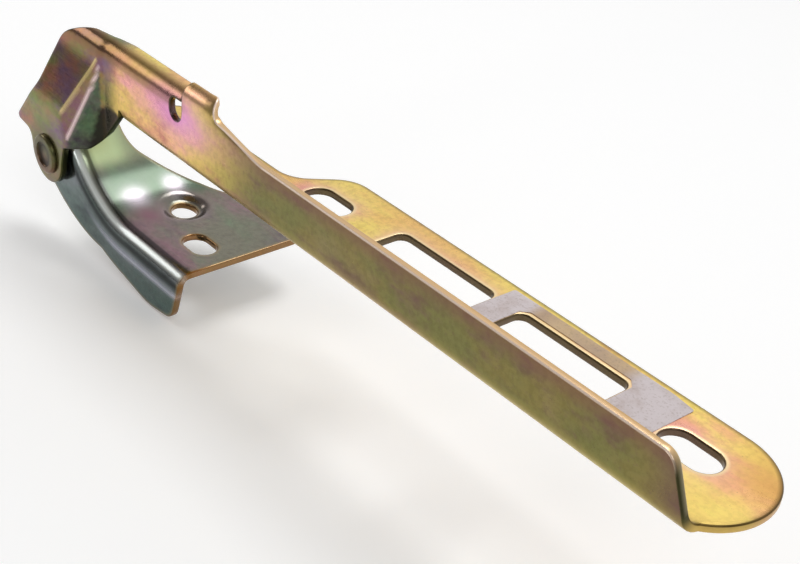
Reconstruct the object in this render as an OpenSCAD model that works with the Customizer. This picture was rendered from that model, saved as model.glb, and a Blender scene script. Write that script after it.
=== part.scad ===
// Car bonnet hinge: a long slotted arm and a body bracket, two steel stampings on one rivet.
// X runs along the arm from the pivot to the tip, Y along the pivot axis, Z up.
// The origin is where the bracket bolts down: the middle of its dished hole, on the base's underside.
// Sizes along X and Z are taken from the pivot axis, and along Y from the outer face of the long wall.

/* [Sheet] */
// Thickness of both stampings
sheet_t = 2.5; // [2.2:0.1:2.8]
// Inside radius of the folds
bend_r = 2.5; // [2:0.5:3]

/* [Arm] */
// Distance from the pivot axis to the tip of the arm
arm_l = 290.4; // [282:0.2:310]
// Height of the long wall, from the underside of the slotted flange
arm_h = 19.6; // [17:0.2:21]
// Height of the slotted flange's top face above the pivot axis
arm_lift = 26.8; // [26:0.2:28]
// Width of the slotted flange, from the outer face of the wall
flange_w = 40.8; // [39:0.2:44]
// Width of the slotted flange between the neck and the first slot
narrow_w = 23.4; // [20:0.2:27]
// How far the wall's end leans back from its foot to its top
end_lean = 8; // [4:0.5:12]

/* [Slots and windows] */
// Width of the two bolt slots in the arm
slot_w = 10.3; // [8.5:0.1:11]
// Length of the two bolt slots in the arm
slot_l = 18.5; // [14:0.5:22]
// Distance of the slots' centre line from the outer face of the wall
slot_y = 24.2; // [23:0.2:25]
// Distance from the pivot axis to the middle of the first slot
slot_x = 118.4; // [117:0.2:122]
// Distance from the tip of the arm to the middle of the second slot
slot_tip = 26.1; // [25:0.1:29]
// Distance from the pivot axis to the first window
window_x = 145.4; // [142:0.2:148]
// Length of flange left between the second window and the second slot
window_gap = 17.25; // [10:0.05:24]
// Width of the bridge between the windows
bridge_w = 10; // [8:0.5:12]
// Width of the rail between the windows and the far edge
rail_w = 8.5; // [7:0.1:10]
// Distance of the windows' near edge from the outer face of the wall
window_y = 11; // [9:0.5:14]

/* [Neck] */
// Height of the neck's top flange above the pivot axis
neck_top = 49.4; // [48.4:0.2:51]
// Width of the neck's top flange
neck_flange_w = 8.6; // [7.6:0.1:10]
// Distance from the pivot axis to the relief notch
notch_x = 65.8; // [62:0.2:68]
// Width of the relief notch
notch_w = 6.8; // [5:0.2:7]
// Depth of the relief notch
notch_d = 9.8; // [8:0.2:11]
// Length of the tall tab beside the notch
tab_l = 14.4; // [13:0.2:17]
// How far the arm's ear stands out from the wall
ear_out = 10; // [9:0.2:11]
// Radius of the arm's ear
ear_r = 10.8; // [10:0.1:11.5]

/* [Bracket] */
// Distance from the pivot axis to the front edge of the base plate
base_l = 81.4; // [79:0.2:90]
// Reach of the base plate beyond the wall's outer face
base_w = 46.5; // [44:0.5:50]
// Depth of the base plate's top face below the pivot axis
base_drop = 10.2; // [9.4:0.2:11]
// Radius of the curve that carries the base plate up to the pivot
ramp_r = 40; // [37:0.5:42]
// Height of the side flange at the front
side_h = 19; // [16:0.5:21]
// Radius of the bracket's ear
bracket_ear_r = 12; // [11.2:0.1:12.6]
// Distance from the pivot axis to the dished hole
hole_x = 43.2; // [42.5:0.1:45]
// Distance of the dished hole from the wall's outer face
hole_y = 20.4; // [18:0.1:22]
// Diameter of the dished hole
hole_d = 9; // [7:0.1:9.6]
// Distance from the front edge of the base plate to the middle of its slot
base_slot_in = 14; // [12:0.1:16]
// Distance of the base slot from the wall's outer face
base_slot_y = 11; // [9:0.1:13]
// Length of the base slot
base_slot_l = 14; // [11:0.1:16]

/* [Pivot] */
// Diameter of the rivet's shank
rivet_d = 8; // [7:0.1:8.6]
// Diameter of the rivet's two heads
head_d = 14.6; // [13:0.1:15]
// Thickness of each rivet head
head_h = 1.4; // [1.2:0.1:2.4]
// Thickness of the washer between the two ears
washer_t = 0.8; // [0.6:0.1:1.2]
// Radial clearance of the arm on the rivet
run_clear = 0.05; // [0.03:0.01:0.08]
// Clearance along the axis on each side of the arm's ear
side_clear = 0.1; // [0.05:0.01:0.2]

/* [Hidden] */
$fn = 64;

// Steps in each rounded corner of an outline
steps = 10;
// Overshoot of the cutting solids
over = 1;
// Radius of a fold on its outside
fold_r = bend_r + sheet_t;
// Underside of the slotted flange and top of the wall, above the pivot axis
arm_foot = arm_lift - sheet_t;
arm_top = arm_foot + arm_h;
// Radius of the round tip, and the foot of the wall's end, where the tip's round meets the fold
tip_r = flange_w / 2;
end_x = arm_l - tip_r + sqrt(pow(tip_r, 2) - pow(tip_r - fold_r, 2));
// The flange's sweep from its narrow part out to its full width: its middle, half its run and its corners
sweep_x = slot_x - 13;
sweep_half = 6;
sweep_r = 12;
// Left end of the slotted flange, under the neck, and its rounded corner
flange_x = 34;
flange_r = 6;
// Distance between the middles of the two slots, and length of each window between them
slot_pitch = arm_l - slot_tip - slot_x;
window_l = (slot_x + slot_pitch - slot_l / 2 - window_gap - window_x - bridge_w) / 2;
// Corner radius of the windows
window_r = 3;
// Corner radii of the wall: its leaning end and the top of its slope
end_r = 5;
slope_r = 25;
// The neck: the wall comes down to here upright, then leans out to the ear
lean_top = 43.5;
lean_foot = 20;
lean_r = 8;
// The web between the wall and the ear, in plan
web_ear_x = 13.5;
web_wall_x = 25;
web_r = 6;
// How far the neck's and the web's faces run on past the plates that they end in
run_on = 1;
// The web's lower edge, and the corner in X and Z where it turns up to the wall's foot
web_foot = 8;
web_turn = [20.6, 9, 1.5];
// Corners of the head's rear edge in X and Z, each with its radius
shoulder = [16, neck_top, 10];
crown = [-3, 43.8, 8];
waist = [-8, 23, 15];
flare = [-21, 7, 2.5];
heel = [-ear_r - 1, 4.5, 4];
// The relief notch's far side, how far back it cuts into the top flange, and the flange's end beside the tab
notch_end = notch_x + notch_w;
notch_back = sheet_t + 0.9;
lip_gap = 1.2;
lip_end = notch_end - lip_gap;
// Corners of the top flange in X and Y where it runs out at the shoulder
lip = [2 * shoulder.x, neck_flange_w, 20];
lip_foot = [shoulder.x - 2, neck_flange_w - 3, 8];
// The tab's top, its leaning side and its corner, then the foot of its step and the end of the slope
tab_top = neck_top + 4;
tab_lean = 3;
tab_r = 3;
step_x = notch_end + tab_l + tab_lean;
step_z = neck_top - 1.6;
step_r = 4;
slope_x = slot_x - 3;
// Positions along the pivot axis, from the arm's ear inward
ear_y = -ear_out;
washer_y = ear_y + sheet_t + side_clear;
side_y = washer_y + washer_t;
head_y = side_y + sheet_t;
// The base plate's ramp
ramp_a = 72;
ramp_x = 46;
ramp_end = 9.2;
side_leg = 36;
// Lower edge of the side flange in X and Z: where it leaves the ear, then three corners with their radii
ear_foot = bracket_ear_r * [-0.6, -0.8];
belly = [35, -26, 40];
chin = [base_l - 19.4, -base_drop - side_h - 2, 30];
toe = [base_l - 4, -base_drop - side_h, 6];
// Far edge of the base plate in X and Y, from the front to the top of the ramp, each corner with its radius
base_front = [base_l, base_w, 6];
base_rear = [47, base_w - 3.5, 10];
base_hip = [33, 33, 12];
base_neck = [15, 15, 14];
base_end = [ramp_end, 13, 2];
// Middle of the base slot
base_slot_x = base_l - base_slot_in;
// The dish pressed down round the bracket's hole: rim, foot, depth, and how much wider it is underneath
dish_d = 17.5;
dish_foot_d = hole_d + 3;
dish_h = 1.6;
dish_grow = 2.5;
// The rivet's outer head: its dimple, the rim round it, and the height of both heads' edges
dimple_h = 0.9;
dimple_r = head_d * 0.28;
rim_r = head_d * 0.41;
brow_r = head_d * 0.46;
edge_h = head_h * 0.6;

function unit(v) = v / norm(v);
function turned(v, a) = [v.x * cos(a) - v.y * sin(a), v.x * sin(a) + v.y * cos(a)];
function turn_angle(u, v) = atan2(u.x * v.y - u.y * v.x, u * v);

// Points of the arc of radius r that rounds corner q between p and s
function corner(p, q, s, r) =
    let (u = unit(q - p), v = unit(s - q), a = turn_angle(u, v))
    let (d = r * tan(abs(a) / 2), n = sign(a) * [-u.y, u.x], c = q - u * d + n * r)
    r == 0 || a == 0 ? [q] : [for (i = [0 : steps]) c + turned(-n * r, a * i / steps)];

// A closed outline of [x, y, radius] corners, each rounded by its own radius
function rounded(pts) =
    let (n = len(pts), flat = [for (p = pts) [p.x, p.y]])
    [for (i = [0 : n - 1]) each corner(flat[(i + n - 1) % n], flat[i], flat[(i + 1) % n], pts[i].z)];

// An open path with every inner corner rounded by radius r
function bent(path, r) =
    let (n = len(path))
    [path[0], for (i = [1 : n - 2]) each corner(path[i - 1], path[i], path[i + 1], r), path[n - 1]];

// The path moved sideways by d, to its left where d is positive
function beside(path, d) =
    let (n = len(path))
    [for (i = [0 : n - 1])
        let (u = unit(path[min(i + 1, n - 1)] - path[max(i - 1, 0)]))
        path[i] + d * [-u.y, u.x]];

// A profile drawn in X and Z, drawn out from y0 to y1
module along_y(y0, y1) {
    translate([0, y1, 0]) rotate([90, 0, 0]) linear_extrude(y1 - y0) children();
}

// A profile drawn in Y and Z, drawn out from x0 to x1
module along_x(x0, x1) {
    translate([x0, 0, 0]) rotate([90, 0, 90]) linear_extrude(x1 - x0) children();
}

// A profile drawn in X and Y, drawn out from z0 to z1
module along_z(z0, z1) {
    translate([0, 0, z0]) linear_extrude(z1 - z0) children();
}

// A slot of length l and width w along X
module slot(l, w) {
    for (side = [-1, 1]) translate([side * (l - w) / 2, 0]) circle(d = w);
    square([l - w, w], center = true);
}

// Side view of the long wall: leaning end, straight top, slope and tall tab
module wall_outline() {
    polygon(rounded([
        [flange_x, arm_foot - over, 0], [end_x, arm_foot - over, 0], [end_x, arm_foot, 0],
        [end_x - end_lean, arm_top, end_r], [slope_x, arm_top, slope_r], [step_x, step_z, step_r],
        [step_x - tab_lean, tab_top + over, tab_r], [flange_x, tab_top + over, 0]]));
}

// Side view of the relief notch, round at its foot and open through the fold above it
module notch_outline() {
    translate([notch_x + notch_w / 2, neck_top - notch_d + notch_w / 2]) {
        circle(d = notch_w);
        translate([-notch_w / 2, 0]) square([notch_w, tab_top]);
    }
}

// Plan of the slotted flange beyond the fold, with its sweep and round tip
module flange_outline() {
    difference() {
        union() {
            polygon(rounded([
                [flange_x, fold_r - over, 0], [arm_l - tip_r, fold_r - over, 0],
                [arm_l - tip_r, flange_w, 0], [sweep_x + sweep_half, flange_w, sweep_r],
                [sweep_x - sweep_half, narrow_w, sweep_r], [flange_x, narrow_w, flange_r]]));
            intersection() {
                translate([arm_l - tip_r, tip_r]) circle(tip_r, $fn = 128);
                translate([arm_l - tip_r, fold_r - over]) square([tip_r, flange_w]);
            }
        }
        for (x = [slot_x, slot_x + slot_pitch]) translate([x, slot_y]) slot(slot_l, slot_w);
        for (i = [0, 1]) polygon(window(window_x + i * (window_l + bridge_w)));
    }
}

// One window of the slotted flange, starting at x
function window(x) = rounded([
    [x, window_y, window_r], [x + window_l, window_y, window_r],
    [x + window_l, flange_w - rail_w, window_r], [x, flange_w - rail_w, window_r]]);

// Side view of the head: shoulder, waist, flared corner, round ear and the web's lower edge
module head_outline() {
    polygon(rounded([
        [lip_end, neck_top, 0], shoulder, crown, waist, flare, heel, [-ear_r, 0, 0], [ear_r, 0, 0],
        [web_ear_x, web_foot, 0], web_turn, [flange_x + over, arm_foot, 0], [lip_end, arm_foot, 0]]));
    circle(ear_r, $fn = 96);
}

// Outer face of the neck in Y and Z: down the wall, leaning out, then upright at the ear
neck_path = bent([
    [run_on, tab_top], [0, lean_top], [ear_y, lean_foot], [ear_y, over - 2 * ear_r]], lean_r);
// Outer face of the web in X and Y, from the ear to the wall
web_path = bent([
    [flare.x - over, ear_y - run_on], [web_ear_x, ear_y], [web_wall_x, 0], [notch_x, run_on]], web_r);

// All that lies behind the arm's outer face moved in by d: the long wall, and the neck out to the ear
module behind_wall(d) {
    translate([flare.x - 2 * over, d, -2 * ear_r])
        cube([arm_l - flare.x + 4 * over, flange_w + 2 * over, tab_top + 2 * ear_r + 2 * over]);
    intersection() {
        along_x(flare.x - over, notch_x - over) polygon(concat(
            beside(neck_path, d), [[flange_w, over - 2 * ear_r], [flange_w, tab_top]]));
        along_z(2 * over - 2 * ear_r, tab_top - over) polygon(concat(
            beside(web_path, d), [[notch_x, tip_r], [flare.x - over, tip_r]]));
    }
}

// All that lies above the slotted flange's underside moved in by d; left of end there is no flange
module above_flange(d, end) {
    along_x(flange_x - 2 * over, arm_l + 3 * over) polygon(concat(
        [[-flange_w, 2 * tab_top], [-flange_w, arm_foot + fold_r]],
        corner([d, tab_top], [d, arm_foot + d], [flange_w, arm_foot + d], fold_r - d),
        [[2 * flange_w, arm_foot + d], [2 * flange_w, 2 * tab_top]]));
    along_x(-flange_w, end) translate([-2 * flange_w, -tab_top]) square([5 * flange_w, 4 * tab_top]);
}

// A fold at the top of the wall in Y and Z, with its outer face moved in by d and all that lies below it
function top_fold(top, d) = concat(
    [[-flange_w, -tab_top], [-flange_w, top - fold_r]],
    corner([d, 0], [d, top - d], [flange_w, top - d], fold_r - d),
    [[2 * flange_w, top - d], [2 * flange_w, -tab_top]]);

// All that lies below the neck's top face moved in by d, and right of end below the tab's rolled edge
module below_top(d, end) {
    along_x(-flange_w, lip_end + lip_gap * 3 / 4) polygon(top_fold(neck_top, d));
    along_x(end, 2 * arm_l) polygon(top_fold(tab_top, d));
}

// The arm's sheet before it is trimmed: what is behind its outer face, less what is behind its inner one
module arm_sheet() {
    difference() {
        intersection() {
            behind_wall(0);
            above_flange(0, flange_x - over);
            below_top(0, lip_end + lip_gap / 4);
        }
        intersection() {
            behind_wall(sheet_t);
            above_flange(sheet_t, flange_x);
            below_top(sheet_t, lip_end + lip_gap / 2);
        }
    }
}

module bonnet_arm() {
    color("#b9a04a") difference() {
        intersection() {
            arm_sheet();
            union() {
                along_y(ear_y - 2 * over, fold_r) wall_outline();
                along_y(ear_y - 3 * over, neck_flange_w + over) head_outline();
                along_z(arm_foot - over, arm_lift + over) flange_outline();
            }
        }
        along_z(neck_top - fold_r, neck_top + over) polygon(rounded([
            [2 * flare.x, sheet_t, 0], [crown.x, sheet_t, 0], lip_foot, lip,
            [notch_x, neck_flange_w, 0], [notch_end, neck_flange_w, 0],
            [notch_end, flange_w, 0], [2 * flare.x, flange_w, 0]]));
        along_y(-over, notch_back) notch_outline();
        translate([lip_end, -over, neck_top - fold_r - over]) cube([lip_gap, flange_w, tab_top]);
        along_y(ear_y - over, ear_y + sheet_t + over) circle(d = rivet_d + 2 * run_clear);
    }
}

// Section of the bracket: base plate, fold and side flange; X is depth below the top face
module bracket_section() {
    translate([0, side_y + fold_r]) square([sheet_t, base_w - side_y - fold_r + over]);
    translate([fold_r, side_y]) square([side_leg - fold_r, sheet_t]);
    intersection() {
        translate([0, side_y]) square(fold_r);
        translate([fold_r, side_y + fold_r]) difference() {
            circle(fold_r);
            circle(bend_r);
        }
    }
}

// The section carried along the flat base and round the ramp, up to the pivot
module bracket_sweep() {
    translate([ramp_x, 0, -base_drop]) rotate([0, 90, 0])
        linear_extrude(base_l - ramp_x) bracket_section();
    translate([ramp_x, 0, ramp_r - base_drop]) rotate([-90, 0, 0]) rotate([0, 0, 90])
        rotate_extrude(angle = ramp_a, $fn = 96) translate([ramp_r, 0]) bracket_section();
}

// Side view of the bracket's flange: round ear, sloping lower edge and rounded front
module side_outline() {
    circle(bracket_ear_r, $fn = 96);
    polygon(rounded([
        [0, 0, 0], [ear_foot.x, ear_foot.y, 0], belly, chin, toe, [base_l, -base_drop + over, 0],
        [base_l, neck_top, 0], [ramp_end, neck_top, 0], [ramp_end, 0, 0]]));
}

// Plan of the base plate: straight front, far edge that sweeps in to the top of the ramp
module base_outline() {
    polygon(rounded([
        [ramp_end, side_y, 0], [base_l, side_y, 0],
        base_front, base_rear, base_hip, base_neck, base_end]));
}

module body_bracket() {
    dish = [hole_x, hole_y, -base_drop];
    color("#a9b5ad") difference() {
        union() {
            intersection() {
                bracket_sweep();
                union() {
                    along_y(side_y - over, side_y + fold_r) side_outline();
                    along_z(-side_leg, neck_top) intersection() {
                        base_outline();
                        translate([0, side_y + fold_r]) square([base_l, 2 * base_w]);
                    }
                }
            }
            translate(dish - [0, 0, sheet_t + dish_h])
                cylinder(d1 = dish_foot_d + dish_grow, d2 = dish_d + dish_grow, h = dish_h + sheet_t / 2);
        }
        translate(dish - [0, 0, sheet_t + dish_h + over])
            cylinder(d = hole_d, h = sheet_t + dish_h + 2 * over);
        translate(dish - [0, 0, dish_h]) cylinder(d1 = dish_foot_d, d2 = dish_d, h = dish_h);
        translate(dish) cylinder(d = dish_d, h = dish_h);
        along_z(-base_drop - sheet_t - over, -base_drop + over)
            translate([base_slot_x, base_slot_y]) slot(base_slot_l, hole_d);
        along_y(side_y - over, head_y + over) circle(d = rivet_d);
    }
}

// The rivet: a dished head outside the arm's ear and a formed flat head inside the bracket
module pivot_rivet() {
    outer = ear_y - side_clear;
    color("#8f8a6a") rotate([-90, 0, 0]) rotate_extrude($fn = 96) polygon([
        [0, outer - head_h + dimple_h], [dimple_r, outer - head_h + dimple_h],
        [rim_r, outer - head_h], [brow_r, outer - head_h],
        [head_d / 2, outer - edge_h], [head_d / 2, outer], [rivet_d / 2, outer],
        [rivet_d / 2, head_y], [head_d / 2, head_y], [head_d / 2, head_y + edge_h],
        [rim_r, head_y + head_h], [0, head_y + head_h]]);
}

module spacer_washer() {
    color("#c9ccc9") along_y(washer_y, side_y) difference() {
        circle(d = head_d, $fn = 96);
        circle(d = rivet_d);
    }
}

translate([-hole_x, -hole_y, base_drop + sheet_t]) {
    bonnet_arm();
    body_bracket();
    pivot_rivet();
    spacer_washer();
}
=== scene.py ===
"""Car bonnet hinge in passivated zinc: a long slotted arm, a body bracket, the pivot rivet and a bare label.

Sizes are in millimetres from the pivot axis (X along the arm, Y along the pivot, Z up), as in the part's source.
Both stampings are flat sheets of outline loops that a formula folds into place and a rim profile closes.
"""

import math
from itertools import chain

import bpy
import numpy as np
from mathutils import Matrix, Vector
from mathutils.geometry import delaunay_2d_cdt


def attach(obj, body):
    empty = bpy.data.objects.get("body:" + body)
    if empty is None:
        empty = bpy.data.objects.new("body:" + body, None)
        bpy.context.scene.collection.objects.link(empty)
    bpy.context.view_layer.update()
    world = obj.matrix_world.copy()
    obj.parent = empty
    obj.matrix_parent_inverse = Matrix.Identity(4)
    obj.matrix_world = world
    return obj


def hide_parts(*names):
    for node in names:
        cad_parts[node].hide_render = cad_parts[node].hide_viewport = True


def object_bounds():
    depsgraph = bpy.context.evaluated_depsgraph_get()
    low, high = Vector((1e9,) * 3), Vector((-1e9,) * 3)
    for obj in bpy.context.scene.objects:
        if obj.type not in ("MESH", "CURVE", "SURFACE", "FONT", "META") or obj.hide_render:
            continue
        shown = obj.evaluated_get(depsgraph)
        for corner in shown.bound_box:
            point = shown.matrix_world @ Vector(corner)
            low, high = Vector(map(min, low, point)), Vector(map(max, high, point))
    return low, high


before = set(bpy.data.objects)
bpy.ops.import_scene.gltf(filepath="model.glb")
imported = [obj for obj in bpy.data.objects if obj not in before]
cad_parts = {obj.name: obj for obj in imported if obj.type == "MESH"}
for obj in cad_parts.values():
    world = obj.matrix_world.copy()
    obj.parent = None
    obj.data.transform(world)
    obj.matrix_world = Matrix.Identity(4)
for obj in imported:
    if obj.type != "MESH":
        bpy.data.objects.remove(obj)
cad_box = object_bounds()

# Sheet and folds
SHEET = 2.5
BEND = 2.5
MID_R = BEND + SHEET / 2
FOLD_R = BEND + SHEET
FOLD_RUN = MID_R * math.pi / 2
RIM_R = 0.55
# Mesh: spacing along loops, for shapes and for masks, and room left beside a loop for its band of points
LOOP_STEP, MASK_STEP = 0.9, 0.45
BAND_IN, FILL_IN = 1.1, 1.9
# Arm
ARM_L = 290.4
ARM_FOOT = 24.3
ARM_TOP = 43.9
ARM_LIFT = ARM_FOOT + SHEET
FLANGE_W = 40.8
FLANGE_X = 35.2
NARROW_W = 23.4
TIP_R = FLANGE_W / 2
SLOT_W, SLOT_L, SLOT_Y = 10.3, 18.5, 24.2
SLOT_XS = (118.4, 264.3)
WINDOW_XS = (145.4, 196.6)
WINDOW_L, WINDOW_Y, RAIL_W, WINDOW_R = 41.2, 11.0, 8.5, 3
NECK_TOP = 49.4
NECK_FLANGE_W = 8.6
NOTCH_X, NOTCH_W, NOTCH_D = 65.8, 6.8, 9.8
NOTCH_END = NOTCH_X + NOTCH_W
NOTCH_HEAD = 46.2
NOTCH_FOOT = NECK_TOP - NOTCH_D + NOTCH_W / 2
LIP_END = NOTCH_END - 1.2
BRIM_STEP = NOTCH_END - 0.6
TAB_TOP, TAB_END, TAB_LEAN = 53.4, 86.6, 0.52
TAB_ROLL, TAB_ROLL_W = 0.7, 4.5
SLIT_X = 34.5
EAR_OUT, EAR_R = 10.0, 10.8
SHANK_CLEAR = 0.05
# The neck's planes in X and Z, the rounding where they meet, and the tucked foot under its arch
NECK_END = 66
PLATE_TOP, PLATE_DROP = 43.5, 23.5
STRIP_X, STRIP_Z, STRIP_BY_X, STRIP_BY_Z = 10.1, 21.0, 0.488, 0.197
WEB_X, WEB_Z, WEB_BY_X, WEB_BY_Z = 13.9, 11.6, 1.0, 0.05
RIDGE_ROUND, EAR_ROUND, VALLEY_ROUND = 0.35, 1.0, 2.4
ARCH_X, ARCH_TOP, ARCH_BOW = 29.5, 27.6, 0.045
CREASE_X, CREASE_Z, CREASE_LEAN = 18.7, 9.1, 0.2
TUCK_SLOPE, TUCK_RUN = 0.03, 20
# Bracket
SIDE_Y = -6.6
BASE_Y0 = SIDE_Y + FOLD_R
BASE_L, BASE_W, BASE_DROP = 81.4, 46.5, 10.2
RAMP_X, RAMP_R, RAMP_END = 46.0, 40.0, 9.2
BRACKET_EAR_R, BRACKET_EAR_TURN = 12.0, 233.13
HOLE = (43.2, 20.4)
HOLE_D, DISH_D, DISH_H = 9.0, 17.5, 1.6
BASE_SLOT = (67.4, 11.0, 14.0)
# Pivot
RIVET_D, HEAD_D, HEAD_H, HEAD_ROUND = 8.0, 14.6, 1.4, 1.0
HEAD_DISH_R, HEAD_DISH_W, HEAD_DISH_H = 3.2, 1.5, 0.9
SIDE_CLEAR = 0.1
WASHER_EDGE = 0.15
# Label
LABEL_T, LABEL_RIM, LABEL_STEP, LABEL_WAVE = 0.12, 0.05, 0.6, 0.05
# From the pivot to the part's origin, under the middle of the dished hole
ORIGIN = np.array([-43.2, -20.4, 12.7])
# Flat coordinates of the arm's folds: the flange's, the neck's top and the tab's
FLAT_V = ARM_FOOT + SHEET / 2 + MID_R - FOLD_RUN
TOP_V = NECK_TOP - FOLD_R
TAB_V = TAB_TOP - FOLD_R


# Outlines


def rounded(corners, steps=10):
    """Closed outline of (x, y, radius) corners: each corner becomes an arc tangent to its two sides."""
    pts = np.array(corners, float)
    out = []
    for q, p, s in zip(pts, np.roll(pts, 1, 0), np.roll(pts, -1, 0)):
        u, v = q[:2] - p[:2], s[:2] - q[:2]
        u, v = u / np.linalg.norm(u), v / np.linalg.norm(v)
        turn = math.atan2(u[0] * v[1] - u[1] * v[0], u @ v)
        if q[2] == 0 or abs(turn) < 1e-6:
            out.append(q[None, :2])
            continue
        side = math.copysign(1, turn) * np.array([-u[1], u[0]])
        centre = q[:2] - u * q[2] * math.tan(abs(turn) / 2) + side * q[2]
        a = turn * np.linspace(0, 1, steps + 1)[:, None]
        arm = -side * q[2]
        out.append(centre + arm * np.cos(a) + np.array([-arm[1], arm[0]]) * np.sin(a))
    return np.concatenate(out)


def arc(centre, radius, start, end, count=24):
    """Points of a circle from one angle to another, in degrees."""
    a = np.radians(np.linspace(start, end, count))
    return np.array(centre) + radius * np.stack([np.cos(a), np.sin(a)], -1)


def circle(centre, radius, count=48):
    """Points of a whole circle, without its start again at the end."""
    return arc(centre, radius, 0, 360 - 360 / count, count)


def slot_loop(x, y, length, width):
    """Outline of a slot along X: two half circles joined by straight sides."""
    half = (length - width) / 2
    return np.concatenate([arc((x + half, y), width / 2, -90, 90), arc((x - half, y), width / 2, 90, 270)])


def evenly(loop, step):
    """The closed loop with points set about step apart along its length, turned to run anticlockwise."""
    closed = np.vstack([loop, loop[:1]])
    run = np.concatenate([[0], np.cumsum(np.linalg.norm(np.diff(closed, axis=0), axis=1))])
    count = max(12, int(run[-1] / step))
    at = np.linspace(0, run[-1], count, endpoint=False)
    even = np.stack([np.interp(at, run, closed[:, k]) for k in (0, 1)], -1)
    area = np.sum(even[:, 0] * np.roll(even[:, 1], -1) - even[:, 1] * np.roll(even[:, 0], -1))
    return even if area > 0 else even[::-1]


def moved_in(loop, by):
    """An anticlockwise loop moved to its left by a distance, along the mean normal of its neighbours."""
    along = np.roll(loop, -1, 0) - np.roll(loop, 1, 0)
    along /= np.maximum(np.linalg.norm(along, axis=1, keepdims=True), 1e-9)
    return loop + by * np.stack([-along[:, 1], along[:, 0]], -1)


def inside(points, loop):
    """Which points lie inside a closed loop: an odd number of its sides cross the ray to the right."""
    x, y = points[:, :1], points[:, 1:]
    a, b = loop, np.roll(loop, -1, 0)
    cross = (a[:, 1] > y) != (b[:, 1] > y)
    rise = np.where(b[:, 1] == a[:, 1], 1e-12, b[:, 1] - a[:, 1])
    return (cross & (x < (b[:, 0] - a[:, 0]) * (y - a[:, 1]) / rise + a[:, 0])).sum(1) % 2 == 1


def within(points, loops):
    """Which points lie inside the first loop and outside the others."""
    keep = inside(points, loops[0])
    for hole in loops[1:]:
        keep &= ~inside(points, hole)
    return keep


def reach(points, loops):
    """Distance of each point from the nearest point of the loops, worked out in blocks to save memory."""
    marks = np.concatenate(loops)
    parts = np.array_split(points, max(1, len(points) // 1500))
    return np.concatenate([np.sqrt(((part[:, None] - marks) ** 2).sum(-1).min(1)) for part in parts])


def grid(x0, x1, y0, y1, step):
    """Points of a staggered grid over a rectangle."""
    x, y = np.meshgrid(np.arange(x0, x1, step), np.arange(y0, y1, step))
    x = x + np.where(np.arange(len(x)) % 2, step / 2, 0)[:, None]
    return np.stack([x.ravel(), y.ravel()], -1)


def rows(xs, ys):
    """Points at every pair of an x and a y."""
    return np.stack(np.meshgrid(xs, ys), -1).reshape(-1, 2)


# Formulas


def soft_min(a, b, k):
    """The lesser of two values, rounded over where they are within k of each other."""
    h = np.maximum(k - np.abs(a - b), 0) / k
    return np.minimum(a, b) - h * h * k / 4


def smooth(x, a, b):
    """0 before a, 1 after b, and an S curve between."""
    t = np.clip((x - a) / (b - a), 0, 1)
    return t * t * (3 - 2 * t)


def bell(x, middle, width):
    """1 at the middle, falling away on both sides as a bell curve."""
    return np.exp(-(((x - middle) / width) ** 2))


# Meshes


def new_piece(name, points, faces, body, node=None, crease=40):
    """An object from points in millimetres from the pivot, riding on a body and standing for a CAD node."""
    mesh = bpy.data.meshes.new(name)
    mesh.from_pydata(((points + ORIGIN) / 1000).tolist(), [], faces)
    mesh.polygons.foreach_set("use_smooth", np.ones(len(mesh.polygons), bool))
    mesh.update()
    mesh.validate()
    mesh.set_sharp_from_angle(angle=math.radians(crease))
    piece = bpy.data.objects.new(name, mesh)
    bpy.context.scene.collection.objects.link(piece)
    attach(piece, body)
    if node:
        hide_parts(node)
    return piece


def paint(piece, masks):
    """Float attributes of the mesh's points that the materials read."""
    for name, values in masks.items():
        attribute = piece.data.attributes.new(name, "FLOAT", "POINT")
        attribute.data.foreach_set("value", np.asarray(values, np.float32))


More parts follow.
